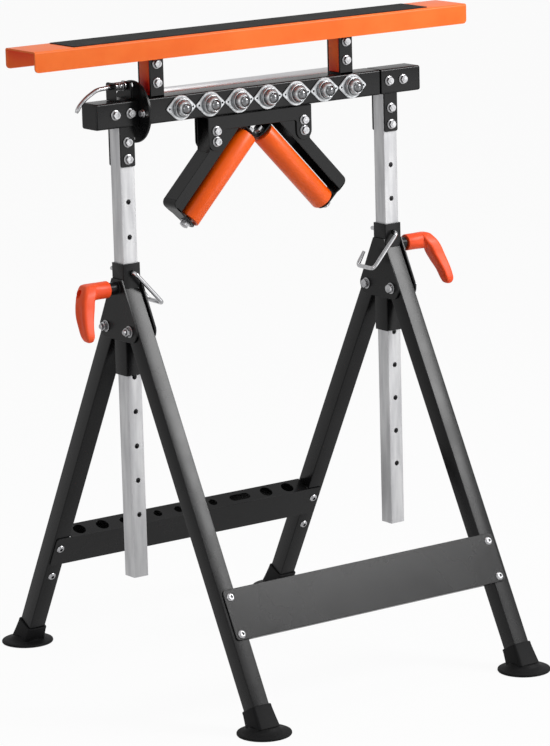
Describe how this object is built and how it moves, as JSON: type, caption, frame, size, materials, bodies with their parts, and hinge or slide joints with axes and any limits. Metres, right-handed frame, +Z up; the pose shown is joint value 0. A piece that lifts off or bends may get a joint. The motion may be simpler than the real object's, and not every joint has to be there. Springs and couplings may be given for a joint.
{
  "type": "roller stand",
  "caption": "Folding work support stand with sliding masts and a turning head: flat channel, ball transfers, long steel roller and vee rollers.",
  "frame": {"origin": "on the floor, under the centre of the part's box", "axes": "+X along the head, -Y towards the ball transfers and the front panel, +Z up"},
  "size_m": [0.78, 0.71, 0.9722],
  "materials": {
    "black_paint": "satin black powder coat",
    "zinc": "bright zinc plate",
    "bright_steel": "polished steel",
    "orange_paint": "satin orange powder coat",
    "orange_plastic": "satin moulded plastic",
    "lever_plastic": "satin moulded plastic",
    "rubber": "matte moulded rubber",
    "grip_tape": "gritty anti-slip tape"
  },
  "bodies": {
    "carriers": {"sleeve_left": "black_paint", "sleeve_right": "black_paint", "pivot_bolt_front_left": "zinc", "pivot_bolt_front_right": "zinc", "pivot_bolt_rear_left": "zinc", "pivot_bolt_rear_right": "zinc"},
    "front_legs": {"front_leg_left": "black_paint", "front_leg_right": "black_paint", "front_foot_left": "rubber", "front_foot_right": "rubber", "front_panel": "black_paint"},
    "rear_legs": {"rear_leg_left": "black_paint", "rear_leg_right": "black_paint", "rear_foot_left": "rubber", "rear_foot_right": "rubber", "tool_tray": "black_paint"},
    "masts": {"mast_left": "zinc", "mast_right": "zinc", "end_block_left": "black_paint", "end_block_right": "black_paint", "index_bracket": "black_paint", "index_spring": "bright_steel"},
    "head": {"head_beam": "black_paint", "index_disc": "black_paint", "ball_cup_1": "zinc", "ball_cup_2": "zinc", "ball_cup_3": "zinc", "ball_cup_4": "zinc", "ball_cup_5": "zinc", "ball_cup_6": "zinc", "ball_cup_7": "zinc", "top_channel": "orange_paint", "grip_strip": "grip_tape", "roller_bracket_left": "black_paint", "roller_bracket_right": "black_paint", "roller_axle": "zinc", "vee_yoke": "black_paint", "vee_arm_left": "black_paint", "vee_arm_right": "black_paint", "vee_axle_left": "zinc", "vee_axle_right": "zinc"},
    "steel_roller": {"steel_roller": "bright_steel"},
    "vee_roller_left": {"vee_roller_left": "orange_plastic"},
    "vee_roller_right": {"vee_roller_right": "orange_plastic"},
    "clamp_left": {"clamp_lever_left": "lever_plastic", "clamp_screw_left": "zinc"},
    "clamp_right": {"clamp_lever_right": "lever_plastic", "clamp_screw_right": "zinc"},
    "lock_pin_left": {"lock_pin_left": "bright_steel", "lock_pin_tip_left": "bright_steel"},
    "lock_pin_right": {"lock_pin_right": "bright_steel", "lock_pin_tip_right": "bright_steel"},
    "index_pin": {"index_pin": "bright_steel"},
    "ball_1": {"ball_1": "bright_steel"},
    "ball_2": {"ball_2": "bright_steel"},
    "ball_3": {"ball_3": "bright_steel"},
    "ball_4": {"ball_4": "bright_steel"},
    "ball_5": {"ball_5": "bright_steel"},
    "ball_6": {"ball_6": "bright_steel"},
    "ball_7": {"ball_7": "bright_steel"}
  },
  "joints": [
    {"name": "front_legs_fold", "type": "hinge", "parent": "carriers", "child": "front_legs", "pos_m": [0.018, -0.0307, 0.5474], "axis": [1, 0, 0], "range_deg": [0, 26.8]},
    {"name": "rear_legs_fold", "type": "hinge", "parent": "carriers", "child": "rear_legs", "pos_m": [0.018, 0.0307, 0.5474], "axis": [-1, 0, 0], "range_deg": [0, 26.8]},
    {"name": "masts_slide", "type": "slide", "parent": "carriers", "child": "masts", "axis": [0, 0, 1], "range_m": [-0.13, 0.33]},
    {"name": "head_turn", "type": "hinge", "parent": "masts", "child": "head", "pos_m": [0.018, 0, 0.8635], "axis": [1, 0, 0], "range_deg": [-90, 90]},
    {"name": "steel_roller_spin", "type": "hinge", "parent": "head", "child": "steel_roller", "pos_m": [0.018, 0.0435, 0.8635], "axis": [1, 0, 0], "continuous": true},
    {"name": "vee_roller_left_spin", "type": "hinge", "parent": "head", "child": "vee_roller_left", "pos_m": [-0.0016, 0, 0.809], "axis": [-0.6884, 0, -0.7254], "continuous": true},
    {"name": "vee_roller_right_spin", "type": "hinge", "parent": "head", "child": "vee_roller_right", "pos_m": [0.0276, 0, 0.809], "axis": [0.6884, 0, -0.7254], "continuous": true},
    {"name": "ball_1_roll", "type": "hinge", "parent": "head", "child": "ball_1", "pos_m": [-0.1303, -0.0315, 0.8635], "axis": [1, 0, 0], "continuous": true},
    {"name": "ball_2_roll", "type": "hinge", "parent": "head", "child": "ball_2", "pos_m": [-0.0781, -0.0315, 0.8635], "axis": [1, 0, 0], "continuous": true},
    {"name": "ball_3_roll", "type": "hinge", "parent": "head", "child": "ball_3", "pos_m": [-0.0259, -0.0315, 0.8635], "axis": [1, 0, 0], "continuous": true},
    {"name": "ball_4_roll", "type": "hinge", "parent": "head", "child": "ball_4", "pos_m": [0.0263, -0.0315, 0.8635], "axis": [1, 0, 0], "continuous": true},
    {"name": "ball_5_roll", "type": "hinge", "parent": "head", "child": "ball_5", "pos_m": [0.0785, -0.0315, 0.8635], "axis": [1, 0, 0], "continuous": true},
    {"name": "ball_6_roll", "type": "hinge", "parent": "head", "child": "ball_6", "pos_m": [0.1307, -0.0315, 0.8635], "axis": [1, 0, 0], "continuous": true},
    {"name": "ball_7_roll", "type": "hinge", "parent": "head", "child": "ball_7", "pos_m": [0.1829, -0.0315, 0.8635], "axis": [1, 0, 0], "continuous": true},
    {"name": "clamp_left_turn", "type": "hinge", "parent": "carriers", "child": "clamp_left", "pos_m": [-0.257, 0, 0.608], "axis": [-1, 0, 0], "range_deg": [-90, 90]},
    {"name": "clamp_right_turn", "type": "hinge", "parent": "carriers", "child": "clamp_right", "pos_m": [0.293, 0, 0.608], "axis": [1, 0, 0], "range_deg": [-90, 90]},
    {"name": "lock_pin_left_pull", "type": "slide", "parent": "carriers", "child": "lock_pin_left", "axis": [0, -1, 0], "range_m": [0, 0.06]},
    {"name": "lock_pin_right_pull", "type": "slide", "parent": "carriers", "child": "lock_pin_right", "axis": [0, -1, 0], "range_m": [0, 0.06]},
    {"name": "index_pin_pull", "type": "slide", "parent": "masts", "child": "index_pin", "axis": [-1, 0, 0], "range_m": [0, 0.008], "stiffness_N_per_m": 500, "springref_m": -0.006, "deforming": ["index_spring"]}
  ]
}
